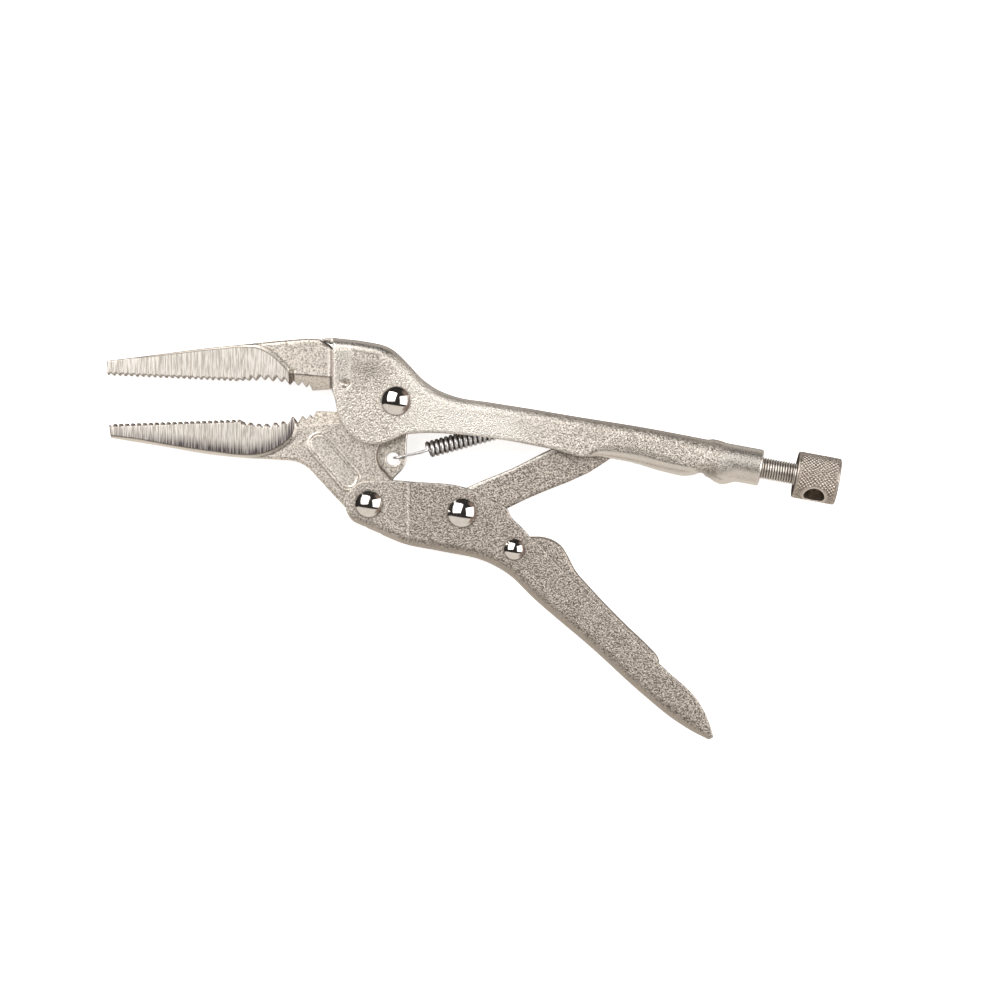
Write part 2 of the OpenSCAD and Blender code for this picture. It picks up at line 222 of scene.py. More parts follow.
def net(f):
    """Surface net of f = 0: vertices in grid coordinates and quads facing out."""
    inside = f < 0
    n = f.shape
    count = np.zeros([k - 1 for k in n], np.int8)
    for i in (0, 1):
        for j in (0, 1):
            for k in (0, 1):
                count += inside[i:n[0] - 1 + i, j:n[1] - 1 + j, k:n[2] - 1 + k]
    mixed = (count > 0) & (count < 8)
    cells = np.argwhere(mixed)
    number = np.full(count.shape, -1, np.int64)
    number[mixed] = np.arange(len(cells))
    total, hits = np.zeros((len(cells), 3)), np.zeros(len(cells))
    for axis in range(3):
        u, w = (axis + 1) % 3, (axis + 2) % 3
        for a, b in ((0, 0), (0, 1), (1, 0), (1, 1)):
            start = cells.copy()
            start[:, u] += a
            start[:, w] += b
            end = start.copy()
            end[:, axis] += 1
            f0, f1 = f[tuple(start.T)].astype(float), f[tuple(end.T)].astype(float)
            cut = (f0 < 0) != (f1 < 0)
            point = start[cut].astype(float)
            point[:, axis] += (f0 / np.where(cut, f0 - f1, 1))[cut]
            total[cut] += point
            hits[cut] += 1
    spots = total / hits[:, None]
    quads = []
    for axis in range(3):
        u, w = (axis + 1) % 3, (axis + 2) % 3
        part = [slice(1, n[k] - 1) for k in range(3)]
        part[axis] = slice(0, n[axis] - 1)
        ahead = list(part)
        ahead[axis] = slice(1, n[axis])
        base = inside[tuple(part)]
        g = np.argwhere(base != inside[tuple(ahead)])
        out = base[tuple(g.T)]
        g[:, u] += 1
        g[:, w] += 1

        def cell(du, dw):
            c = g.copy()
            c[:, u] -= du
            c[:, w] -= dw
            return number[tuple(c.T)]

        q = np.stack([cell(1, 1), cell(0, 1), cell(0, 0), cell(1, 0)], 1)
        q[~out] = q[~out][:, ::-1]
        quads.append(q)
    return spots, np.vstack(quads)


def sample(f, p):
    """Trilinear value of f at grid coordinates p."""
    top = np.array(f.shape) - 1.001
    p = np.clip(p, 0, top)
    i = p.astype(int)
    t = p - i
    value = np.zeros(len(p))
    for a in (0, 1):
        for b in (0, 1):
            for c in (0, 1):
                w = (t[:, 0] if a else 1 - t[:, 0]) * (t[:, 1] if b else 1 - t[:, 1])
                w = w * (t[:, 2] if c else 1 - t[:, 2])
                value += w * f[i[:, 0] + a, i[:, 1] + b, i[:, 2] + c]
    return value


BORDER = 0.05
BEND_REACH = 0.45       # how far round a vertex the curvature is measured


def surface(f, grid):
    """The closed mesh of a field: vertices in mm, quads, normals and curvature (positive on convex edges),
    then the vertices one axis at a time and how squarely each faces along z."""
    f = np.ascontiguousarray(f, np.float32)
    # the grid's border counts as outside, so that every mesh closes
    for axis in range(3):
        ends = [slice(None)] * 3
        for e in (0, -1):
            ends[axis] = e
            f[tuple(ends)] = np.maximum(f[tuple(ends)], BORDER)
    spots, quads = net(f)

    def slope(p):
        g = np.zeros((len(p), 3))
        for axis in range(3):
            e = np.zeros(3)
            e[axis] = 0.5
            g[:, axis] = (sample(f, p + e) - sample(f, p - e)) / grid.step[axis]
        return g

    # two steps that pull the vertices onto the surface
    for _ in range(2):
        g = slope(spots)
        move = -sample(f, spots)[:, None] * g / np.maximum((g**2).sum(1), 0.25)[:, None] / grid.step
        spots = spots + np.clip(move, -0.4, 0.4)
    g = slope(spots)
    normal = g / np.maximum(np.linalg.norm(g, axis=1), 1e-6)[:, None]
    bend = -6 * sample(f, spots)
    for axis in range(3):
        e = np.zeros(3)
        e[axis] = BEND_REACH / grid.step[axis]
        bend = bend + sample(f, spots + e) + sample(f, spots - e)
    v = grid.low + spots * grid.step
    return v, quads.tolist(), normal, bend / BEND_REACH, *v.T, np.abs(normal[:, 2])


def add_object(name, vertices, faces, material, body, node, marks):
    """A mesh object from millimetre vertices, with float marks per vertex for its material."""
    mesh = bpy.data.meshes.new(name)
    co = (np.asarray(vertices, float) * MM + PIVOT).astype(np.float32)
    mesh.from_pydata(co.tolist(), [], faces)
    mesh.polygons.foreach_set("use_smooth", np.ones(len(mesh.polygons), bool))
    mesh.validate()
    for key, values in marks.items():
        layer = mesh.attributes.new(key, "FLOAT", "POINT")
        layer.data.foreach_set("value", np.asarray(values, np.float32))
    mesh.materials.append(material)
    obj = bpy.data.objects.new(name, mesh)
    bpy.context.scene.collection.objects.link(obj)
    if body:
        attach(obj, body)
    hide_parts(node)
    return obj


def ring_faces(count, around):
    """Faces of a closed skin over rings of points, whose last two points are its poles."""
    faces = []
    for i in range(count - 1):
        for k in range(around):
            a, b = i * around + k, i * around + (k + 1) % around
            faces.append((a, b, b + around, a + around))
    first, last, top = count * around, count * around + 1, (count - 1) * around
    for k in range(around):
        faces.append((first, (k + 1) % around, k))
        faces.append((last, top + k, top + (k + 1) % around))
    return faces


# ---- sheet-metal handles
TOP_LINE = [(-13.7, 14.5), (-7.45, 13.8), (-1.5, 12.3), (3.1, 8.2), (5.9, 5.2), (9.3, 2.8), (12.3, 1.5),
            (15.5, 0.6), (19.9, 0.0), (23.8, -0.6), (32.6, -2.0), (40.2, -3.3), (57, -6.0), (75, -9.4)]
LOBE = [(-14.7, 2.7), (-14.0, 0.6), (-13.5, -2.2), (-12.8, -4.5), (-11.4, -6.7), (-9.2, -8.8), (-6.7, -9.8),
        (-3.9, -9.9), (-0.7, -8.9), (1.4, -7.8), (5.4, -7.25), (10.7, -7.3), (15.5, -7.75), (19.9, -8.2),
        (23.8, -8.7), (29.7, -9.7), (35.6, -11.0), (40.3, -12.4)]
LIP = [(35.6, -11.0), (40.3, -12.4), (43.8, -12.8), (46.1, -12.8), (50.2, -13.4), (56.0, -14.7), (62, -16.3),
       (66.1, -17.1), (68.2, -16.9), (69.8, -16.4), (71.6, -16.5), (78, -17.6)]
# the lip's lower edge, with the whole area above it
LIP_AREA = joined([(-90, -90), (33, -90), (33, -10.6)], curve(LIP), [(100, -22), (100, 90), (-90, 90)])


def lip_width(x):
    """Height of the band along the lip that is pressed in."""
    return ramp(x, [43.5, 46.8, 51.4, 56, 60.6, 65.2, 67.5, 69.5], [0.0, 1.6, 2.3, 2.75, 2.5, 2.4, 2.1, 0.0])


def dimple(x, y):
    """Distance from the middle of the staked dimple, 1 at its rim."""
    return np.hypot((x + 11.6) / 1.15, (y - 3.9) / 0.95)


def screw_place(x, y):
    """Distance along the screw from the toggle link's end, and off its axis in the tool's plane."""
    dx, dy = x - LINK_END[0], y - LINK_END[1]
    return dx * OUT[0] + dy * OUT[1], dx * UP[0] + dy * UP[1]


def upper_handle():
    g = Grid((-17.9, -20.6, -5.7), (85.0, 15.4, 5.7), (0.28, 0.22, 0.22))
    x, y, z = g.half()
    top = poly(joined([(-30, 16.4)], curve(TOP_LINE), [(100, -14.0), (100, -90), (-30, -90)]), x, y)
    front_end = joined([(-14.5, 60), (-14.5, 2.9)], curve(LOBE, 4), [(40.3, -90), (200, -90), (200, 60)])
    lip = poly(LIP_AREA, x, y)
    half = ramp(x, [-20, 18, 52, 70, 76], [CHANNEL, CHANNEL, 4.65, 4.4, 2.6])
    bend = ramp(x, [-20, -6, 8, 20, 45, 60, 74], [3.0, 3.0, 2.7, 2.5, 2.6, 3.0, 4.0])
    curl = ramp(x, [-20, 43.2, 45.5, 60, 70, 74], [0.35, 0.35, 1.6, 2.2, 3.0, 3.8])
    # coined flat with the staked dimple, near the front
    press = 0.03 * fade(np.maximum(np.abs(x + 12.4) - 2.1, np.abs(y - 8.4) - 5.2), -0.8, 0.5)
    press = press + 0.8 * clip01(1 - dimple(x, y) ** 2) * step01(4.9 - y, 0, 0.5)
    # pressed in along the lip, towards the tail
    into = np.clip(lip_width(x) + lip, 0, 9)
    press = press + 0.36 * into**2 / (into + 0.25) * step01(x, 43.5, 46) * fade(x, 65, 70)
    outer = both(both(both(top, z - half + press, bend), lip, curl), x - 75.5, 1.2)
    inner = both(both(top + SHEET, z - half + SHEET, bend - SHEET), lip + SHEET, np.maximum(curl - SHEET, 0.2))
    inner = np.maximum(inner, x - 72.2)
    open_half = ramp(x, [-20, 43, 45.5, 53.5, 60, 70, 74], [3.4, 3.3, 2.9, 2.75, 1.7, 0.35, 0.0])
    open_side = np.maximum(np.maximum(z - open_half, top + 5.0), x - 73.0)
    f = without(outer, np.minimum(inner, open_side))
    # the tube, the swelling in front of it, its thread's bore and the wider one for the tip cap
    s, off = screw_place(x, y)
    rho = np.hypot(off, g.z)
    tube = both(rho - TUBE_RADIUS, np.maximum(TUBE_FRONT - s, s - TUBE_END), 0.35)
    bulge = (np.sqrt(((x - 74.9) / 2.7) ** 2 + ((y + 15.9) / 3.1) ** 2 + (g.z / 3.6) ** 2) - 1) * 2.7
    f = either(either(f, tube, 1.2), bulge, 1.5)
    f = without(f, np.maximum(rho - 2.6, 18 - s), np.maximum(rho - 2.85, np.maximum(1 - s, s - TUBE_FRONT)))
    f = both(f, poly(front_end, x, y), 0.4)
    # nib of the top web that hooks over the jaw
    nib = poly([(-17.35, 14.45), (-14.0, 14.62), (-13.2, 14.0), (-14.2, 13.35), (-15.3, 13.25), (-16.5, 13.8)], x, y)
    f = either(f, both(nib, z - 2.6, 0.25), 0.2)
    f = without(f, hole(x, y, MAIN, MAIN_RIVET[0]))

    v, q, n, edge, vx, vy, vz, side = surface(f, g)
    on_tube = step01(screw_place(vx, vy)[0], 22.5, 26.5)
    # the pressed band is smooth, with painted shade along its fold
    above = -poly(LIP_AREA, vx, vy) - lip_width(vx)
    band = fade(above, -0.25, 0.1) * step01(vx, 43.5, 45)
    under = step01(vx, 42, 47) * fade(vx, 63, 69) * bell(above - 0.45, 0.5)
    front = fade(vx, -3, 2)
    fold = np.maximum(step01(n[:, 1], 0.5, 0.9) * 0.7, step01(n[:, 1], 0.2, 0.45) * front)
    coin = fade(np.maximum(np.abs(vx + 12.1) - 1.9, np.abs(vy - 8.0) - 3.6), -0.4, 0.5)
    tip = fade(vx, -14.9, -14.5)
    # painted deep shade: along the top fold's edges, on the nib, in the dimple, round the main rivet and in the gap
    # at the front edge
    deep_shade = 0.3 * step01(n[:, 1], 0.6, 0.95) * step01(np.abs(vz), 2.2, 2.8) + 0.5 * (vx < -14.9)
    deep_shade = deep_shade + 0.55 * bell(dimple(vx, vy) - 0.85, 0.22) * step01(vy, 4.0, 4.6) * (side > 0.4)
    deep_shade = deep_shade + 0.6 * bell(np.hypot(vx, vy) - 3.4, 0.14) * (vz > 4) + 0.5 * (1 - side) * bell(vx + 14.5, 0.2)
    # painted shade: a dark patch near the front, a band along the lip's fold, a dark streak under the top edge,
    # darker towards the tail, and a spot by the tube
    shaded_patch = bell(np.hypot((vx + 6.8) / 4.2, (vy - 7.2) / 2.9), 1)
    painted_streak = bell(vy - 11.0 + (vx + 6.5) * 0.2, 0.35) * step01(vx, -10.6, -9.6) * fade(vx, -4, -2.8)
    shade = 0.5 * shaded_patch * (1 - coin) + 0.5 * under + 0.6 * painted_streak + 0.12 * step01(vx, 34, 60)
    shade = shade + 0.45 * bell(np.hypot((vx - 71.8) / 1.9, (vy + 16.8) / 1.1), 1)
    # smoother where the hand rubs it, with a painted sheen on the same patch
    rubbed_and_sheen = 0.45 * step01(vx, 6, 13) * fade(vx, 24, 32) * step01(-vy - 0.12 * (vx - 12), 0.8, 3.2)
    # painted highlight: lighter stretches along the handle, on the pressed band, the coined flat, the tube, the
    # front of the top fold and the rubbed patch
    painted_highlight = ramp(vx, [-15, -10, -2, 5, 18, 27, 36, 45, 84], [0.35, 0.1, 0.1, 0.7, 0.9, 0.45, 0.1, 0.0, 0.0])
    painted_highlight = np.maximum(painted_highlight * (1 - 0.8 * shaded_patch), 0.9 * band) * (side > 0.2)
    painted_highlight = np.maximum.reduce([painted_highlight, 0.25 * coin, 0.65 * on_tube, 0.6 * fold * front, 2.6 * rubbed_and_sheen])
    smooth = np.maximum.reduce([0.7 * on_tube, band, fold, 0.85 * coin, tip, 0.5 * rubbed_and_sheen])
    add_object("upper_handle_sheet", v, q, nickel, "upper_body", "upper_handle",
               {"smooth": clip01(smooth), "edge": edge, "deep_shade": clip01(deep_shade), "shade": clip01(shade),
                "painted_highlight": np.clip(painted_highlight, 0, 1.2)})


WEB_LINE = [(-3.4, -30.6), (1.4, -32.6), (10, -34.4), (20.8, -36.9), (25.6, -39.6), (31.5, -45.2), (44.6, -56.4),
            (57.4, -68.0), (63.6, -73.0), (68.4, -76.0), (71.6, -77.6)]
HANDLE_TOP = [(72.8, -76.9), (71.2, -72.3), (68.7, -68.0), (62.5, -62.2), (48.2, -48.2), (35.3, -35.7),
              (33.5, -33.6), (30.7, -31.0), (28.8, -28.9), (26.7, -26.9), (25.4, -24.6), (22.0, -22.7),
              (16.8, -20.1), (13.5, -19.2), (7.7, -18.7), (2.9, -18.4), (-0.7, -18.1)]


def lower_handle():
    g = Grid((-12.2, -78.6, -5.6), (73.6, -17.2, 5.6), (0.25, 0.25, 0.22))
    x, y, z = g.half()
    web = poly(joined([(-40, -15.35)], curve(WEB_LINE), [(90, -86.5), (120, -60), (120, 60), (-40, 60)]), x, y)
    rest = poly(joined(arc(JAW, 5.4, 95, 262), [(-6.9, -60), (20, -110), (71.4, -110), (71.4, -78.2)],
                       curve(HANDLE_TOP, 4)), x, y)
    # the ears over the jaw stand wider than the handle, with a joggle between them
    joggle = 0.6 * step01(x, 1.1, 4.6)
    bend = ramp(x, [-20, 0, 30, 66, 72], [2.2, 2.2, 2.6, 2.4, 1.6])
    outer = both(web, z - (CHANNEL - joggle), bend)
    inner = both(web + SHEET, z - (CHANNEL - SHEET - joggle), bend - SHEET + 0.1)
    f = both(without(outer, inner), rest, 0.38)
    # the web starts behind the jaw's round end
    front = np.maximum(z - 3.3, x + 3.2 + 0.25 * (z - 2))
    f = both(f, -front, 0.3)
    f = without(f, hole(x, y, JAW, JAW_RIVET[0]), hole(x, y, TOGGLE, TOGGLE_RIVET[0]),
                hole(x, y, RELEASE, RELEASE_RIVET[0]))

    v, q, n, edge, vx, vy, vz, side = surface(f, g)
    fold = step01(-n[:, 1] * 0.8 - n[:, 0] * 0.45, 0.3, 0.7)
    joggle_line = bell(vx - 2.75, 0.2) * (side > 0.7)
    ear = fade(vx, 0, 2.6)
    # painted deep shade along the edges that turn away, round the rivets and beside the joggle
    deep_shade = 0.7 * step01(n[:, 1] * 0.9 + n[:, 0] * 0.4, 0.75, 0.95) * step01(side, 0.1, 0.3)
    for at, r in ((JAW, 3.25), (TOGGLE, 3.5), (RELEASE, 2.5)):
        deep_shade = deep_shade + 0.6 * bell(hole(vx, vy, at, r), 0.14) * (vz > 4)
    deep_shade = deep_shade + 0.25 * bell(vx - 3.3, 0.25) * (side > 0.7)
    # painted highlight on the joggle and, a little, on the ears; painted shade behind the ears
    add_object("lower_handle_sheet", v, q, dull_nickel, "lower_handle", "lower_handle",
               {"smooth": np.maximum(fold, 0.4 * joggle_line), "deep_shade": clip01(deep_shade),
                "edge": edge * (1 - bell(vx - 2.75, 1.2) * (side > 0.6)),
                "painted_highlight": clip01(0.6 * joggle_line + 0.12 * ear), "shade": 0.1 * (1 - ear)})


# ---- jaws
CUTTER_START, CUTTER_END = -23.6, -14.6


def upper_block(x):
    """The line between the cutter block and the forging above it."""
    return 6.2 - (x + 23.1) * 0.7 / 8.2


def upper_jaw():
    g = Grid((-66.9, -8.0, -3.7), (6.9, 15.0, 3.7), (0.14, 0.14, 0.2))
    x, y, z = g.half()
    outline = joined(
        scallops((-66.3, 5.9), (-36.9, 4.6), 1.35, 0.62),
        [(-36.1, 5.2), (-35.4, 4.75), (-34.8, 5.3), (-33.95, 4.75), (-33.1, 5.75), (-32.3, 4.8), (-31.2, 6.0),
         (-30.3, 4.9), (-29.4, 5.9), (-28.45, 4.62), (-27.4, 5.82), (-26.5, 4.46), (-25.6, 5.38), (-24.5, 3.85)],
        [(-23.6, 4.8), (-22.6, 3.6), (-21.7, 4.6), (-20.7, 3.2), (-20.0, 4.1), (-19.3, 2.5), (-14.7, 2.8),
         (-8.6, 2.8), (1.7, 6.7), (-2.2, 10.5), (-7.65, 12.0), (-14.5, 12.2), (-15.2, 12.9), (-16.2, 13.6)],
        curve([(-17.4, 14.25), (-19.0, 14.35), (-25.4, 14.0), (-36.4, 12.9), (-45.2, 12.0), (-54.4, 10.8),
               (-66.35, 9.3)], 4))
    ground_area = joined([(-70, 9.0), (-54.4, 10.45), (-45.2, 11.6), (-39.4, 12.1), (-36.4, 12.45)],
                         curve([(-32.6, 12.35), (-31.1, 11.9), (-28.5, 10.5), (-26.5, 8.7), (-24.7, 6.8)], 4),
                         [(-24.3, 2), (-70, 2)])
    ground = poly(ground_area, x, y)
    face = ramp(x, [-66.3, -33, -24], [2.6, 3.1, 3.32])
    forged = ramp(x, [-66.3, -36, -30, -15.4, -14.7], [2.4, 2.8, 3.0, 3.1, 3.3])
    half = np.where(x > -24.2, forged, face - (face - forged) * clip01(ground / 0.85))
    # cutter bevel and the notch in front of it
    bevel = np.clip(upper_block(x) - y, 0, 9) * step01(x, -24.4, -23.4)
    half = half - 0.72 * bevel * fade(x, -15.2, CUTTER_END)
    notch = np.maximum(np.abs(x + 24.0) - 0.45, np.abs(y - 5.4) - 1.7)
    half = half - 0.7 * fade(notch, -0.25, 0.3)
    rounding = 0.14 + 0.12 * step01(y, 7.0, 8.6) + 0.55 * step01(x, -37, -30) * step01(y, 9, 11)
    f = both(poly(outline, x, y), z - half, rounding)
    # the cheeks that the main rivet goes through, and the slot between them for the lower jaw's tongue
    cheek = poly(curve([(-13.3, 8), (-13.3, 2.8), (-8.1, 2.8), (-8.4, -0.5), (-6.3, -6), (0, -7.5), (5.2, -4.6),
                        (6.4, 0.6), (1.8, 6.6), (-2.2, 10.2), (-8, 10.5), (-13.3, 8)], 4), x, y)
    f = either(f, both(cheek, z - 3.3, 0.2), 0.2)
    slot = np.maximum(np.minimum(hole(x, y, MAIN, 7.3), np.maximum(np.abs(x) - 9.8, y - 2.4)), z - (TONGUE + 0.3))
    f = without(f, slot, hole(x, y, MAIN, MAIN_RIVET[0]))

    v, q, _, edge, vx, vy, _, side = surface(f, g)
    area, rim = poly(ground_area, vx, vy), poly(outline, vx, vy)
    above = vy - upper_block(vx)
    block = step01(vx, CUTTER_START, -23) * (vx < -14.7)
    sides = step01(side, 0.2, 0.5)
    pit = np.maximum(np.abs(vx + 24.0) - 0.5, np.abs(vy - 5.2) - 1.5)
    # painted deep shade: dark lines along the ground face's steps, in the notch, in the gap to the handle, under the
    # nib, along the top and toothed edges and on the cutter block's line
    deep_shade = 1.1 * (bell(area, 0.13) + 0.8 * bell(area - 0.85, 0.14)) * (vx < -24.4) + fade(pit, -0.3, 0.15) * 0.8
    deep_shade = deep_shade + bell(vx + 14.9, 0.3) * (vy > 2.9)
    deep_shade = deep_shade + 0.9 * step01(vx, -17.4, -16.4) * step01(vy - 12.9 + 0.35 * (vx + 17), -0.3, 0.2)
    back = 0.9 * step01(rim, -0.28, -0.04) * (vy > 8) * (1 - 0.7 * step01(vx, -36, -31)) * (vx < -15)
    teeth = 0.6 * step01(rim, -0.24, -0.03) * (vy < 6.6) * (vx < -24)
    deep_shade = deep_shade + (back + teeth) * sides + 0.9 * bell(above, 0.16) * block
    # painted highlight: a line by the handle's front edge and a band along the cutter block
    painted_highlight = bell(vx + 15.6, 0.22) * (vy > 2.9) * (vy < 13.2) + 0.7 * bell(above - 0.4, 0.16) * block
    painted_highlight = np.maximum(painted_highlight, 0.6 * step01(-above, 0.1, 0.5) * (vx > -23.3) * (vx < -14.7))
    add_object("upper_jaw_forging", v, q, forging, "upper_body", "upper_jaw",
               {"ground": fade(area, -0.12, 0.02) * step01(side, 0.7, 0.95), "edge": edge * (vx > -24),
                "deep_shade": clip01(deep_shade), "painted_highlight": painted_highlight,
                "bevel": step01(area, -0.02, 0.1) * fade(area, 0.8, 0.95) * (vx < -24.3)})


LOWER_FACE = [(-23.2, -4.7), (-24.0, -7.8), (-26.2, -9.8), (-28.9, -11.3), (-32, -12.1), (-35.7, -12.2),
              (-40.8, -11.6), (-52.3, -9.9), (-59.4, -8.6), (-66.9, -7.7)]
COARSE_TIPS = [(-26.0, -4.55), (-27.8, -4.83), (-29.8, -5.08), (-31.6, -5.08), (-33.5, -4.83), (-35.2, -4.64)]
FINE_TEETH = 22
TIP_RADIUS = 0.36
TAB_EDGE = curve([(-0.9, -18.2), (-2.4, -16.4), (-3.9, -14.6), (-4.4, -12.4), (-3.9, -10.6), (-3.2, -9)], 4)
CARTOUCHE = [(-17.6, -9.9), (-10.9, -17.8)]


def lower_block(x):
    """The line between the cutter block and the forging below it."""
    return -5.8 + (x + 22.1) * 0.8 / 9.6


def lower_jaw():
    g = Grid((-66.5, -29.0, -3.6), (6.3, 5.9, 3.6), (0.15, 0.15, 0.2))
    x, y, z = g.half()
    outline = joined(
        curve([(-65.5, -8.45), (-60, -9.35), (-54.6, -10.2), (-42.8, -12.2), (-34.8, -13.0), (-26.9, -13.4),
               (-23, -13.8), (-21, -14.7), (-17.8, -17.8), (-15, -20.9)], 4),
        arc(JAW, 4.9, 200, 367),
        [(-1.7, -19.6), (-0.9, -18.2)],
        TAB_EDGE,
        [(-3.7, -2), (-13.2, -2.4), (-18.4, -2.2), (-19.1, -3.8), (-19.8, -2.9), (-20.7, -4.2), (-21.6, -3.2),
         (-22.6, -5.0), (-23.8, -3.4)],
        [q for i, a in enumerate(COARSE_TIPS) for q in ((a[0] + (1.05 if i < 5 else 0.8), a[1] - 0.95), a)],
        scallops((-36.06, -4.16), (-66.0, -5.2), 1.335, 0.62))
    fine_tips = [(-36.06 - 29.94 * k / FINE_TEETH, -4.16 - 1.04 * k / FINE_TEETH) for k in range(FINE_TEETH)]
    tips = np.vstack([COARSE_TIPS, fine_tips])
    # each ridge ends in a small rounded point
    dots = np.min([hole(x, y, (a, c - TIP_RADIUS), 0) for a, c in tips], axis=0)
    plan = np.minimum(poly(outline, x, y), dots - TIP_RADIUS)
    face_area = joined([(-66.9, -2), (-23.2, -2)], curve(LOWER_FACE, 4))
    ground = poly(face_area, x, y)
    face = ramp(x, [-66.3, -33, -24], [2.6, 3.1, 3.35])
    # the ground face is crowned, and falls away towards its lower and right boundary
    crown = np.minimum(np.clip(3.2 + ground, 0, 9), 3.2)
    face = face - 0.022 * crown**2 * ramp(x, [-66, -58, -50, -42, -34, -26], [0.0, 0.12, 0.55, 1.0, 0.8, 0.45])
    fall = ramp(x, [-66.3, -40, -30, -22], [0.45, 0.45, 0.36, 0.34])
    level = ramp(x, [-48, -38, -30, -22], [1.7, 2.25, 2.78, 2.9])
    half = np.where(ground > 0, np.maximum(face - fall * ground, level), face)
    half = np.where(x > -22.2, 2.9, half)
    half = half - 0.7 * np.clip(y - lower_block(x), 0, 9) * step01(x, -23.6, -22.4)
    # blank cartouche: two thin raised lines round a field that is sunk a little
    oval = line_sd(CARTOUCHE, x, y)
    half = half + 0.20 * bell(oval - 2.55, 0.2) + 0.13 * bell(oval - 1.95, 0.17) - 0.05 * fade(oval, 1.7, 2.0)
    half = half - 0.12 * clip01(0.55 - dots)
    rounding = 0.12 + 0.15 * step01(-y, 6.0, 7.0) + 0.35 * step01(-y, 7.5, 9.5) * step01(x, -34, -28)
    f = both(plan, z - half, rounding)
    f = both(f, -hole(x, y, MAIN, 8.9), 0.2)
    tongue = poly(curve([(-8.6, -3.0), (-4.4, 1.6), (4.4, 0), (4.9, -4.0), (2.6, -7.6), (2.3, -10.7), (2.1, -14.1),
                         (1.2, -15.8), (-0.5, -17.5), (-1.6, -19.4), (-8, -20), (-12, -14), (-12, -6), (-8.6, -3.0)],
                        4), x, y)
    tongue = np.minimum(tongue, hole(x, y, MAIN, 5.5))
    f = either(f, both(tongue, z - TONGUE, 0.25), 0.35)
    f = both(f, -hole(x, y, SPRING_HOLE, 1.5), 0.2)
    f = without(f, hole(x, y, MAIN, MAIN_RIVET[0] + PLAY), hole(x, y, JAW, JAW_RIVET[0] + PLAY))

    v, q, _, edge, vx, vy, vz, side = surface(f, g)
    area = poly(face_area, vx, vy)
    oval = line_sd(CARTOUCHE, vx, vy)
    rim = (vx < -22.6) & (vy < -4.2)
    strip = step01(area, -0.02, 0.1) * fade(area, 0.85, 1.0) * rim
    teeth = step01(poly(outline, vx, vy), -0.4, -0.02) * (vy > -6) * (vx < -23.6) * step01(side, 0.2, 0.5)
    ribbon = step01(area, -0.05, 0.1) * fade(area, 0.75, 0.95) * step01(vx, -36, -31) * rim
    # painted deep shade: along the teeth, the ground face's boundary and the cutter block, dots at the tooth tips,
    # the tab's seam and the cartouche's grooves, less on the back
    deep_shade = 0.45 * teeth + 0.22 * ribbon
    deep_shade = deep_shade + (0.95 * bell(area, 0.13) + 0.5 * bell(area - 0.9, 0.14) * step01(vx, -36, -30)) * rim
    deep_shade = deep_shade + 0.5 * bell(vy - lower_block(vx), 0.15) * step01(vx, -22.4, -22) * (vx < -12.6)
    spots = np.min([hole(vx, vy, (a, c - 0.32), 0) for a, c in tips], axis=0)
    deep_shade = deep_shade + fade(spots, TIP_RADIUS, 0.52) + 1.1 * bell(line_sd(TAB_EDGE, vx, vy), 0.42)
    deep_shade = deep_shade + 0.40 * bell(oval - 2.92, 0.16) + 0.4 * bell(oval - 2.25, 0.1)
    deep_shade = deep_shade * (1 - 0.7 * (vz < 0) * (oval < 3.4))
    # painted highlight on the cartouche's lines and field and on the band below the ground face
    painted_highlight = 0.3 * bell(oval - 2.55, 0.2) + 0.25 * fade(oval, 1.6, 1.9)
    painted_highlight = painted_highlight + 0.7 * step01(area, 0.1, 0.3) * fade(vx, -33, -27) * (vy < -6)
    # painted shade: the dark fringe along the lower boundary of the ground face
    shade = (0.6 * step01(area, -3.3, -0.9) + 0.6 * step01(area, -1.7, -0.15)) * fade(area, -0.02, 0.08)
    shade = shade * ramp(vx, [-66, -58, -48, -24], [0.3, 0.5, 1, 1])
    add_object("lower_jaw_forging", v, q, forging, "lower_jaw", "lower_jaw",
               {"ground": fade(area, -0.1, 0.03) * step01(side, 0.7, 0.95), "edge": edge * (vx > -22),
                "deep_shade": clip01(deep_shade), "shade": shade, "painted_highlight": painted_highlight, "bevel": strip})


# ---- link and lever
def toggle_link():
    far = np.linalg.norm(LINK_END - TOGGLE)
    along = (LINK_END - TOGGLE) / far
    up = np.array((-along[1], along[0]))
    pts = [(-3.6, 2.6), (-2.2, 3.9), (0, 4.4), (15, 4.4), (30.0, 4.3), (33.5, 3.5), (37.0, 1.95), (far + 0.3, 1.75),
           (far + 1.5, 0.9), (far + 1.8, 0), (far + 1.5, -0.9), (far + 0.3, -1.75), (37.5, -2.6), (35.0, -3.25),
           (15, -3.35), (0, -3.35), (-2.2, -3.1), (-3.8, -1.8), (-4.3, 0.2), (-3.6, 2.6)]
    outline = curve([TOGGLE + along * a + up * c for a, c in pts], 4)
    g = Grid((10.2, -30.0, -2.6), (53.4, -6.2, 2.6), (0.2, 0.2, 0.2))
    x, y, z = g.half()
    f = without(both(poly(outline, x, y), z - 2.3, 0.55), hole(x, y, TOGGLE, TOGGLE_RIVET[0] + PLAY))
    v, q, _, edge, vx, vy, _, side = surface(f, g)
    height = (vx - TOGGLE[0]) * up[0] + (vy - TOGGLE[1]) * up[1]
    # painted highlight along the link's upper edge
    add_object("toggle_link_bar", v, q, dull_forging, "toggle_link", "toggle_link",
               {"edge": edge, "painted_highlight": 0.8 * step01(height, 3.75, 4.1) * (side > 0.3)})


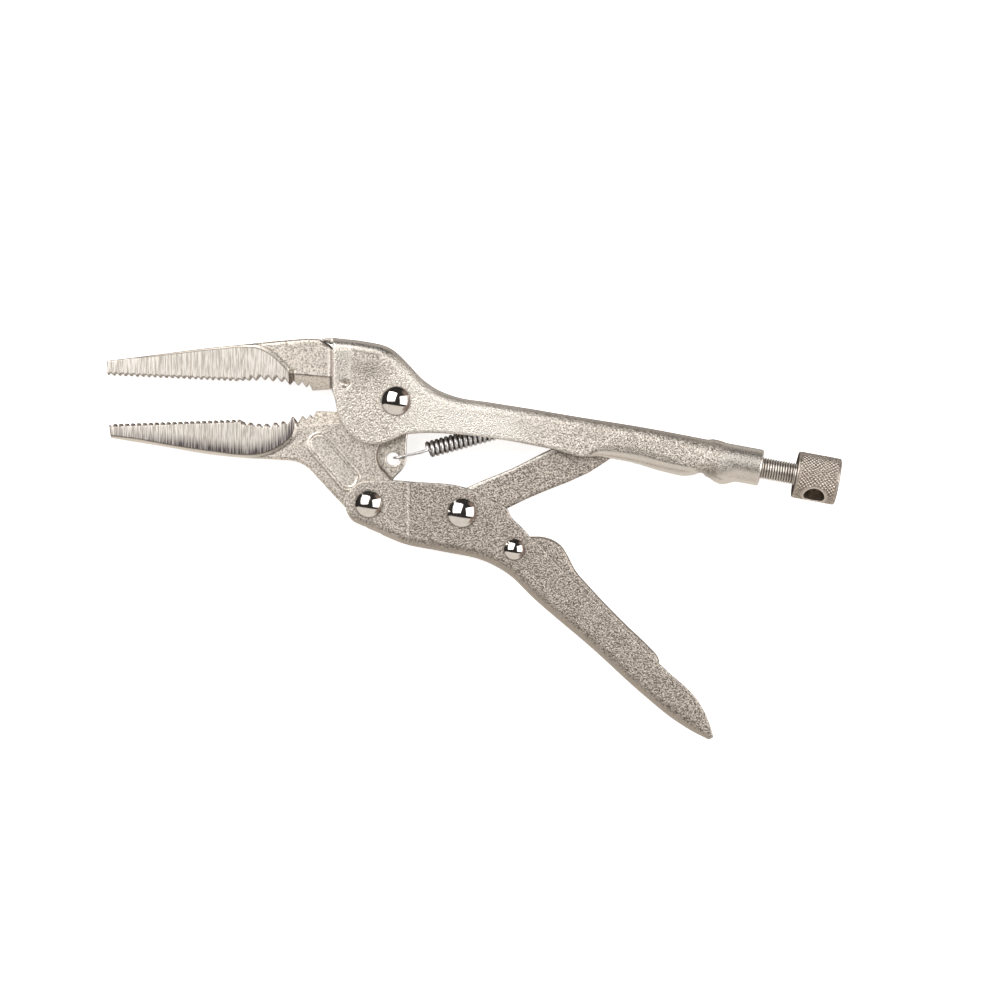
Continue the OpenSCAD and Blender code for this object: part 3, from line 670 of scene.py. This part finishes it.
def release_lever():
    back = curve([(22.7, -32.6), (23.4, -31.3), (25.2, -30.5), (28.4, -31.3), (31.3, -31.0), (33.8, -31.1),
                  (36.1, -31.8), (38.0, -33.2), (39.3, -35.2), (41.2, -38.8), (44.5, -42.6), (48.6, -47.0),
                  (53.4, -51.8), (58.0, -56.2), (60.2, -58.8), (60.5, -59.8)], 4)
    belly = curve([(59.9, -60.4), (59.0, -60.1), (54.0, -55.4), (47.6, -49.5), (42.0, -44.8), (36.8, -40.6),
                   (33.6, -38.4), (30.6, -37.4), (25.6, -36.8), (23.4, -35.4), (22.7, -33.6)], 4)
    gauge = 1.1
    g = Grid((22.0, -61.2, -2.4), (61.2, -29.8, 2.4), (0.2, 0.2, 0.2))
    x, y, z = g.half()
    fold = poly(joined([(10, -31.6)], back, [(75, -78), (-40, -90), (-60, -30)]), x, y)
    f = both(both(fold, z - 2.1, gauge), poly(joined(back, belly), x, y), 0.2)
    f = without(f, both(fold + gauge, z - (2.1 - gauge), 0.25), hole(x, y, RELEASE, RELEASE_RIVET[0] + PLAY))
    v, q, n, edge, *_ = surface(f, g)
    add_object("release_lever_sheet", v, q, dull_nickel, "release_lever", "release_lever",
               {"smooth": step01(n[:, 1] * 0.7 + n[:, 0] * 0.7, 0.3, 0.8), "edge": edge})


# ---- turned pieces
def rivet(node, at, sizes, body):
    """A shank with a dome on each side, whose rim carries painted shade where it meets the sheet."""
    shank, head, base, dome = sizes
    r = (head**2 + dome**2) / (2 * dome)
    # the dome gets no steeper than this, or its rim mirrors the sheet beside it
    steep = math.radians(42.8)
    turn = r * math.sin(steep)
    cap = []
    for a in [head * (i + 0.3) / 20 for i in range(20)] + [head - 0.02]:
        drop = r - math.sqrt(r * r - min(a, turn) ** 2) + max(a - turn, 0) * math.tan(steep)
        cap.append((a, base + dome - drop))
    lip = [(head, cap[-1][1] - 0.03), (head, base + 0.02), (head - 0.05, base - 0.06), (shank, base - 0.06)]
    upper = cap + lip
    profile = [(a, -h) for a, h in upper] + [(a, h) for a, h in reversed(upper)]
    around = 64
    t = np.linspace(0, 2 * math.pi, around, endpoint=False)
    rings = [np.stack([a * np.cos(t), a * np.sin(t), np.full(around, h)], 1) for a, h in profile]
    v = np.vstack(rings + [[(0, 0, profile[0][1])], [(0, 0, profile[-1][1])]]) + (*at, 0)
    deep_shade = np.repeat([0.85 * step01(a, head - 0.22, head - 0.02) for a, h in profile], around)
    add_object(node + "_dome", v, ring_faces(len(profile), around), mirror, body, node,
               {"deep_shade": np.append(deep_shade, (0, 0))})


def along_screw(s, u, v):
    """Millimetre places from screw coordinates: s outwards, u up the tool, v through it."""
    s, u, v = np.broadcast_arrays(s, u, v)
    xy = LINK_END + np.stack([s, s], -1) * OUT + np.stack([u, u], -1) * UP
    return np.concatenate([xy, v[..., None]], -1)


def adjusting_screw():
    around = 48
    # rows of radius, place along the screw and how deep the thread is cut there
    rows = [(1.5, 3.7, 0.0), (1.5, 5.4, 0.0), (2.1, 5.4, 0.0), (SCREW_RADIUS, 5.9, 0.0), (SCREW_RADIUS, 19.6, 0.0)]
    rows += [(SCREW_RADIUS, s, step01(s, 20, 20.6) * fade(s, 41.3, 41.7)) for s in np.arange(20, 42.0, 0.075)]
    rows += [(SCREW_RADIUS, 42.05, 0.0), (SCREW_RADIUS, 43.8, 0.0)]
    t = np.linspace(0, 2 * math.pi, around, endpoint=False)
    rings, deep_shade = [], []
    for r, s, deep in rows:
        phase = (s / SCREW_PITCH - t / (2 * math.pi)) % 1
        cut = clip01(np.abs(phase - 0.5) * 3 - 0.4) * deep
        radius = r - THREAD_DEPTH * cut
        # painted deep shade in the thread's hollows
        deep_shade.append(cut)
        rings.append(along_screw(s, radius * np.cos(t), radius * np.sin(t)))
    v = np.vstack(rings + [along_screw(rows[0][1], 0.0, 0.0)[None], along_screw(rows[-1][1], 0.0, 0.0)[None]])
    add_object("adjusting_screw_thread", v, ring_faces(len(rows), around), bright, "screw", "adjusting_screw",
               {"deep_shade": np.append(np.concatenate(deep_shade), (0, 0))})


def screw_knob():
    g = Grid((-0.3, -5.8, -5.8), (10.3, 5.8, 5.8), (0.1, 0.1, 0.1))
    s, u, v = g.x, g.y, g.z
    rho = np.hypot(u, v)
    turn = np.arctan2(v, u)

    def off_hole(s, u, v):
        return np.hypot(s - KNOB_LENGTH / 2, u * math.cos(KNOB_HOLE_TILT) + v * math.sin(KNOB_HOLE_TILT))

    # diamonds between two sets of slanting grooves, a little uneven
    around, pitch = 38, 0.9
    wobble = 0.1 * np.sin(turn * 5 + s * 2.1) + 0.1 * np.sin(turn * 9 - s * 1.3)
    p, q = turn * around / (2 * math.pi) + wobble, s / pitch
    a, b = np.abs(((p + q) % 1) - 0.5) * 2, np.abs(((p - q) % 1) - 0.5) * 2
    knurl = 0.32 * np.minimum(a, b) ** 0.8
    off = off_hole(s, u, v)
    knurled = step01(s, 0.5, 1.1) * fade(s, 9.0, 9.5) * step01(off, 2.75, 3.4)
    body = rho - KNOB_RADIUS + 0.26 * knurled - (knurl - 0.05) * knurled * 0.95 + 0.12 * (1 - knurled)
    f = both(body, np.maximum(-s, s - KNOB_LENGTH), 0.45)
    f = both(f, KNOB_HOLE_RADIUS - off, 0.25)
    f = without(f, np.maximum(rho - 2.45, s - 2.0))
    _, quads, _, edge, vs, vu, vv, _ = surface(f, g)
    # painted deep shade in the knurl's hollows
    ring = step01(off_hole(vs, vu, vv), 2.9, 3.5)
    depth = KNOB_RADIUS - np.hypot(vu, vv)
    add_object("screw_knob_knurled", along_screw(KNOB_START + vs, vu, vv), quads, knob_metal, "screw", "screw_knob",
               {"edge": edge, "smooth": 1 - ring, "deep_shade": 0.95 * ring * step01(depth, 0.1, 0.32)})


# ---- spring
def curve3(points, n):
    """A smooth open line through points in space."""
    p = np.array(points, float)
    fine = np.linspace(0, len(p) - 1, (len(p) - 1) * n + 1)
    m = np.gradient(p, axis=0)
    i = np.minimum(fine.astype(int), len(p) - 2)
    w = (fine - i)[:, None]
    return ((2 * w**3 - 3 * w**2 + 1) * p[i] + (w**3 - 2 * w**2 + w) * m[i] + (3 * w**2 - 2 * w**3) * p[i + 1]
            + (w**3 - w**2) * m[i + 1])


def around_path(p, sides):
    """Unit vectors all round a path, with no twist from point to point."""
    tangent = np.gradient(p, axis=0)
    tangent /= np.linalg.norm(tangent, axis=1)[:, None]
    normal = np.zeros_like(p)
    n = np.cross(tangent[0], (0.3, 0.2, 1.0))
    for i, t in enumerate(tangent):
        n = n - t * n.dot(t)
        n /= np.linalg.norm(n)
        normal[i] = n
    a = np.linspace(0, 2 * math.pi, sides, endpoint=False)[None, :, None]
    return np.cos(a) * normal[:, None] + np.sin(a) * np.cross(tangent, normal)[:, None]


def return_spring():
    begin, turns, steps, r, sides = np.array((7.2, -11.15)), 16, 20, 1.5, 10
    ahead = (SPRING_END - begin) / np.linalg.norm(SPRING_END - begin)
    side = np.array((-ahead[1], ahead[0]))
    run = np.linalg.norm(SPRING_END - ahead * 3.0 - begin)
    hx, hy = SPRING_HOLE
    hook = [(hx + 2.6, hy + 0.45, -1.95)]
    for t in np.radians(-90 - 20 * np.arange(10)):
        hook.append((hx + 1.2 + 0.9 * math.cos(t), hy + 0.25, 1.95 * math.sin(t)))
    hook += [(hx + 2.9, hy + 0.75, 2.0), (hx + 4.6, hy + 1.05, 1.9), (begin[0] - 1.5, begin[1] - 0.55, 1.75)]
    coil = []
    for i in range(turns * steps + 1):
        t = i * 2 * math.pi / steps
        coil.append((*(begin + ahead * (run * i / (turns * steps)) + side * r * math.sin(t)), r * math.cos(t)))
    eye = []
    for i in range(10):
        t = math.radians(180 - i * 28)
        eye.append((*(SPRING_END + ahead * 1.3 * math.cos(t) + side * 1.3 * math.sin(t)), 0.5 if i < 1 else 0.0))
    hook = curve3(hook, 3)
    path = np.vstack([hook, coil, curve3(eye, 2)])
    first, last = len(hook), len(hook) + len(coil)
    # the coil touches turn to turn, so its wire is drawn a little fuller than the hook
    number = np.arange(len(path))
    radius = ramp(number, [first - 4, first + 6, last, len(path)], [0.28, 0.5, 0.5, 0.4])
    way = around_path(path, sides)
    v = np.vstack([(path[:, None] + radius[:, None, None] * way).reshape(-1, 3), path[:1], path[-1:]])
    # painted deep shade in the gaps between the turns
    coiled = ((number > first + 2) & (number < last))[:, None]
    deep_shade = 0.95 * coiled * step01(np.abs(way[..., :2] @ ahead), 0.5, 0.9)
    obj = add_object("return_spring_wire", v, ring_faces(len(path), sides), spring_wire, None, "return_spring",
                     {"deep_shade": np.append(deep_shade.reshape(-1), (0, 0))})
    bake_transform(obj)


# ---- materials
LIGHT = (0.92, 0.87, 0.80)
MID = (0.40, 0.363, 0.318)
DARK = (0.20, 0.175, 0.15)
BRIGHT = (0.97, 0.945, 0.89)
DEEP_SHADE = (0.14, 0.11, 0.09)
DEEP_SHADE_COVER = 0.85     # how far the painted deep shade hides the metal
GROUND_ROUGHNESS = 0.43


def material(name):
    m = bpy.data.materials.new(name)
    m.use_nodes = True
    shader = m.node_tree.nodes["Principled BSDF"]
    shader.inputs["Metallic"].default_value = 1.0
    return m, shader


class Wire:
    """Short helpers for building node trees. A value is a number, a colour or another node's output."""

    def __init__(self, tree, place):
        self.t = tree
        self.place = tree.nodes.new("ShaderNodeTexCoord").outputs[place]

    def link(self, a, b):
        self.t.links.new(a, b)

    def put(self, value, socket):
        if isinstance(value, tuple):
            socket.default_value = (*value, 1)[:len(socket.default_value)]
        elif isinstance(value, (int, float)):
            socket.default_value = value
        else:
            self.link(value, socket)

    def noise(self, scale, detail=2.0, rough=0.5, stretch=None):
        n = self.t.nodes.new("ShaderNodeTexNoise")
        n.inputs["Scale"].default_value = scale
        n.inputs["Detail"].default_value = detail
        n.inputs["Roughness"].default_value = rough
        place = self.place
        if stretch:
            mapping = self.t.nodes.new("ShaderNodeMapping")
            mapping.inputs["Scale"].default_value = stretch
            self.link(place, mapping.inputs["Vector"])
            place = mapping.outputs["Vector"]
        self.link(place, n.inputs["Vector"])
        return n.outputs["Fac"]

    def cells(self, scale):
        n = self.t.nodes.new("ShaderNodeTexVoronoi")
        n.inputs["Scale"].default_value = scale
        self.link(self.place, n.inputs["Vector"])
        return n.outputs["Distance"]

    def mark(self, name):
        n = self.t.nodes.new("ShaderNodeAttribute")
        n.attribute_name = name
        return n.outputs["Fac"]

    def math(self, kind, a, b):
        n = self.t.nodes.new("ShaderNodeMath")
        n.operation = kind
        self.put(a, n.inputs[0])
        self.put(b, n.inputs[1])
        return n.outputs[0]

    def plus(self, a, b):
        return self.math("ADD", a, b)

    def times(self, a, b):
        return self.math("MULTIPLY", a, b)

    def range(self, v, a, b, c, d):
        n = self.t.nodes.new("ShaderNodeMapRange")
        n.interpolation_type = "SMOOTHSTEP"
        for key, value in zip(("Value", "From Min", "From Max", "To Min", "To Max"), (v, a, b, c, d)):
            self.put(value, n.inputs[key])
        return n.outputs["Result"]

    def mix(self, fac, a, b, kind="RGBA"):
        n = self.t.nodes.new("ShaderNodeMix")
        n.data_type = kind
        self.put(fac, n.inputs["Factor"])
        for key, v in (("A", a), ("B", b)):
            self.put(v, [i for i in n.inputs if i.name == key and i.type == kind][0])
        return [o for o in n.outputs if o.type == kind][0]

    def bump(self, height, strength, distance):
        n = self.t.nodes.new("ShaderNodeBump")
        n.inputs["Distance"].default_value = distance
        self.put(strength, n.inputs["Strength"])
        self.link(height, n.inputs["Height"])
        return n.outputs["Normal"]


def grained(name, light=LIGHT, mid=MID, grain=1.0, size=2350, ground=False):
    """Nickel plate over a shot-blasted surface: fine sparkling grain, calmer where the mark says."""
    m, shader = material(name)
    w = Wire(m.node_tree, "Object")
    fine = w.noise(size, 2.0, 0.55)
    pits = w.cells(size * 1.3)
    broad = w.noise(300, 3.0, 0.6)
    calmness = w.mark("bevel" if ground else "smooth")
    rough_part = w.math("SUBTRACT", 1.0, calmness)
    speckle = w.plus(w.times(fine, 0.75), w.times(pits, 0.25))
    base = w.mix(w.range(speckle, 0.37, 0.62, 0, 1), mid, light)
    base = w.mix(w.times(w.range(speckle, 0.45, 0.33, 0, 0.55), rough_part), base, DARK)
    base = w.mix(w.times(calmness, 0.85), base, tuple(0.3 * a + 0.7 * b for a, b in zip(mid, light)))
    base = w.mix(w.range(broad, 0.4, 0.7, 0.0, 0.12), base, DARK)
    # painted highlight: lighter towards BRIGHT where the mark says
    base = w.mix(w.times(w.mark("painted_highlight"), 0.75), base, BRIGHT)
    if not ground:
        base = w.mix(w.mark("shade"), base, DARK)
    # convex edges are painted lighter: rubbed bright, and a painted highlight along them
    edge = w.range(w.mark("edge"), 0.6, 1.4, 0, 0.5)
    base = w.mix(edge, base, BRIGHT)
    rough = w.plus(w.range(pits, 0.2, 0.7, 0.32, 0.48), w.times(edge, -0.06))
    rough = w.plus(rough, w.times(calmness, -0.08))
    if ground:
        # faces ground across their length: long fine lines, with a painted dark fringe where the shade mark says
        brushed = w.noise(1000, 2.0, 0.6, (3.6, 0.13, 0.5))
        fibre = w.noise(1000, 2.0, 0.6, (5.2, 0.4, 0.5))
        streak = w.noise(1000, 1.0, 0.5, (2.2, 0.07, 0.4))
        lines = w.plus(w.times(brushed, 0.6), w.times(fibre, 0.4))
        tone = w.mix(w.range(lines, 0.40, 0.58, 0, 1), (0.51, 0.475, 0.425), (0.93, 0.90, 0.85))
        tone = w.mix(w.range(streak, 0.57, 0.70, 0, 0.32), tone, (0.52, 0.42, 0.33))
        gloom = w.times(w.mark("shade"), w.range(brushed, 0.40, 0.62, 1.15, 0.3))
        tone = w.mix(gloom, tone, (0.17, 0.145, 0.155))
        mask = w.mark("ground")
        base = w.mix(mask, base, tone)
        rough = w.plus(w.times(rough, w.math("SUBTRACT", 1.0, mask)), w.times(mask, GROUND_ROUGHNESS))
        # the lines' relief fades to a zero normal on the ground faces, which leaves them the mesh's own
        normal = w.mix(mask, w.bump(lines, 0.5, 0.00009), (0.0, 0.0, 0.0), "VECTOR")
    else:
        height = w.plus(fine, w.times(pits, 0.5))
        normal = w.bump(height, w.plus(0.1, w.times(rough_part, 0.8)), 0.00017 * grain)
    # painted deep shade: a near-black brown over the metal in creases, gaps, hollows and along edges that turn away
    base = w.mix(w.times(w.mark("deep_shade"), DEEP_SHADE_COVER), base, DEEP_SHADE)
    w.link(base, shader.inputs["Base Color"])
    w.link(rough, shader.inputs["Roughness"])
    w.link(normal, shader.inputs["Normal"])
    return m


def plain_metal(name, low, high, rough, scale, bump):
    """Even metal with a faint mottle, for polished and machined pieces and wire."""
    m, shader = material(name)
    w = Wire(m.node_tree, "Object")
    n = w.noise(scale, 3.0, 0.6)
    spot = w.noise(scale * 0.15, 2.0, 0.5)
    base = w.mix(w.range(n, 0.35, 0.65, 0, 1), low, high)
    # painted deep shade, nearly black, where the mark says
    base = w.mix(w.times(w.mark("deep_shade"), DEEP_SHADE_COVER), base, (0.10, 0.08, 0.065))
    w.link(base, shader.inputs["Base Color"])
    w.link(w.range(spot, 0.3, 0.7, *rough), shader.inputs["Roughness"])
    w.link(w.bump(n, bump, 0.00003), shader.inputs["Normal"])
    return m


# the lower handle, the lever and the link look duller than the rest
DULL = ((0.66, 0.605, 0.545), (0.19, 0.168, 0.15), 1.15)
nickel = grained("blasted_nickel")
dull_nickel = grained("blasted_nickel_dull", *DULL)
forging = grained("blasted_forging", (0.96, 0.905, 0.83), (0.50, 0.455, 0.395), ground=True)
dull_forging = grained("blasted_bar", *DULL)
knob_metal = grained("knurled_nickel", (0.68, 0.61, 0.54), (0.34, 0.295, 0.25), 0.5, 2600)
mirror = plain_metal("polished_rivet", (0.80, 0.78, 0.74), (0.86, 0.84, 0.80), (0.07, 0.13), 900, 0.12)
bright = plain_metal("machined_steel", (0.74, 0.70, 0.65), (0.93, 0.90, 0.85), (0.3, 0.4), 2200, 0.3)
spring_wire = plain_metal("spring_steel", (0.66, 0.66, 0.67), (0.92, 0.92, 0.93), (0.34, 0.42), 1800, 0.25)
cap_metal = plain_metal("cap_steel", (0.42, 0.41, 0.39), (0.62, 0.60, 0.57), (0.25, 0.4), 1800, 0.3)

for node in ("screw_tip_cap", "spring_anchor_pin"):
    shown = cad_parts[node]
    shown.data.materials.clear()
    shown.data.materials.append(cap_metal)

upper_handle()
lower_handle()
upper_jaw()
lower_jaw()
toggle_link()
release_lever()
rivet("main_rivet", MAIN, MAIN_RIVET, "upper_body")
rivet("jaw_rivet", JAW, JAW_RIVET, "lower_handle")
rivet("toggle_rivet", TOGGLE, TOGGLE_RIVET, "lower_handle")
rivet("release_rivet", RELEASE, RELEASE_RIVET, "lower_handle")
adjusting_screw()
screw_knob()
return_spring()

# ---- stage, light, camera
FLOOR_SIZE, FLOOR_CELLS, FLOOR_DROP = 3.0, 8, 0.00002
floor_places = [((i / FLOOR_CELLS - 0.5) * FLOOR_SIZE, (j / FLOOR_CELLS - 0.5) * FLOOR_SIZE, -FLOOR_DROP)
                for i in range(FLOOR_CELLS + 1) for j in range(FLOOR_CELLS + 1)]
floor_corners = [i * (FLOOR_CELLS + 1) + j for i in range(FLOOR_CELLS) for j in range(FLOOR_CELLS)]
floor_faces = [(a, a + FLOOR_CELLS + 1, a + FLOOR_CELLS + 2, a + 1) for a in floor_corners]
floor_mesh = bpy.data.meshes.new("floor")
floor_mesh.from_pydata(floor_places, [], floor_faces)
floor_material, floor_shader = material("pale_floor")
floor_shader.inputs["Metallic"].default_value = 0.0
floor_shader.inputs["Roughness"].default_value = 0.9
floor_wire = Wire(floor_material.node_tree, "Object")
floor_wire.link(floor_wire.mix(floor_wire.noise(40), (0.90, 0.895, 0.89), (0.92, 0.915, 0.91)),
                floor_shader.inputs["Base Color"])
floor_shader.inputs["Emission Color"].default_value = (1, 1, 1, 1)
floor_shader.inputs["Emission Strength"].default_value = 0.75
floor_mesh.materials.append(floor_material)
floor = bpy.data.objects.new("floor", floor_mesh)
bpy.context.scene.collection.objects.link(floor)
floor.visible_glossy = False

# what the camera and the lights look at: the place at the middle of the photograph
CENTRE = Vector(PIVOT + np.array((23.83, -22.66, 0)) * MM)
CAMERA_HEIGHT, LENS = 1.0, 156.5        # metres, millimetres


def softbox(name, azimuth, off_axis, width, height, distance=1.2, radiance=2.75, tint=(1, 0.967, 0.94)):
    """A soft square light that looks at the tool; azimuth 0 is towards the tail, 90 the upper handle."""
    a, o = math.radians(azimuth), math.radians(off_axis)
    way = Vector((math.cos(a) * math.sin(o), math.sin(a) * math.sin(o), math.cos(o)))
    data = bpy.data.lights.new(name, "AREA")
    data.shape = "RECTANGLE"
    data.size, data.size_y = width, height
    data.energy = radiance * math.pi * width * height
    data.color = tint
    obj = bpy.data.objects.new(name, data)
    obj.location = CENTRE + way * distance
    across = Vector((way.z, 0, -way.x)).normalized()
    obj.rotation_mode = "QUATERNION"
    obj.rotation_quaternion = Matrix((across, way.cross(across), way)).transposed().to_quaternion()
    obj.visible_camera = False
    bpy.context.scene.collection.objects.link(obj)


softbox("key_left", 132, 46, 1.36, 1.52)
softbox("key_right", 7, 56, 1.2, 1.16)

# what the metal reflects: a dark room, with a pale table and wall on the lower handle's side and a warm
# patch by the tail; the camera itself sees pale grey
world = bpy.data.worlds.new("studio")
bpy.context.scene.world = world
world.use_nodes = True
sky = Wire(world.node_tree, "Generated")
parts = world.node_tree.nodes.new("ShaderNodeSeparateXYZ")
sky.link(sky.place, parts.inputs[0])
sky_x, sky_y, sky_z = (parts.outputs[axis] for axis in "XYZ")
low_side = sky.plus(sky.math("SUBTRACT", sky.times(sky_x, -0.15), sky_y), sky.times(sky_z, -0.19))
room = sky.mix(sky.range(low_side, 0.33, 0.41, 0, 1), (0.032, 0.029, 0.027), (0.78, 0.72, 0.66))
warm = sky.times(sky.range(sky_x, 0.4, 0.75, 0, 1), sky.range(sky_z, 0.12, 0.38, 1, 0))
room = sky.mix(warm, room, (0.27, 0.20, 0.17))
under = sky.times(sky.range(sky_z, -0.22, -0.10, 1, 0), sky.range(sky_z, -0.92, -0.80, 0, 1))
room = sky.mix(sky.times(under, sky.range(sky_y, 0.3, 0.6, 0, 1)), room, (0.60, 0.56, 0.52))
seen = world.node_tree.nodes.new("ShaderNodeLightPath").outputs["Is Camera Ray"]
background = world.node_tree.nodes["Background"]
sky.link(sky.mix(seen, room, (0.93, 0.93, 0.93)), background.inputs["Color"])
background.inputs["Strength"].default_value = 1.0

camera_data = bpy.data.cameras.new("camera")
camera_data.sensor_width = 36
camera_data.lens = LENS
camera_data.clip_start, camera_data.clip_end = 0.05, 20
camera = bpy.data.objects.new("camera", camera_data)
camera.location = CENTRE + Vector((0, 0, CAMERA_HEIGHT))
bpy.context.scene.collection.objects.link(camera)
bpy.context.scene.camera = camera
bpy.context.scene.view_settings.view_transform = "Standard"
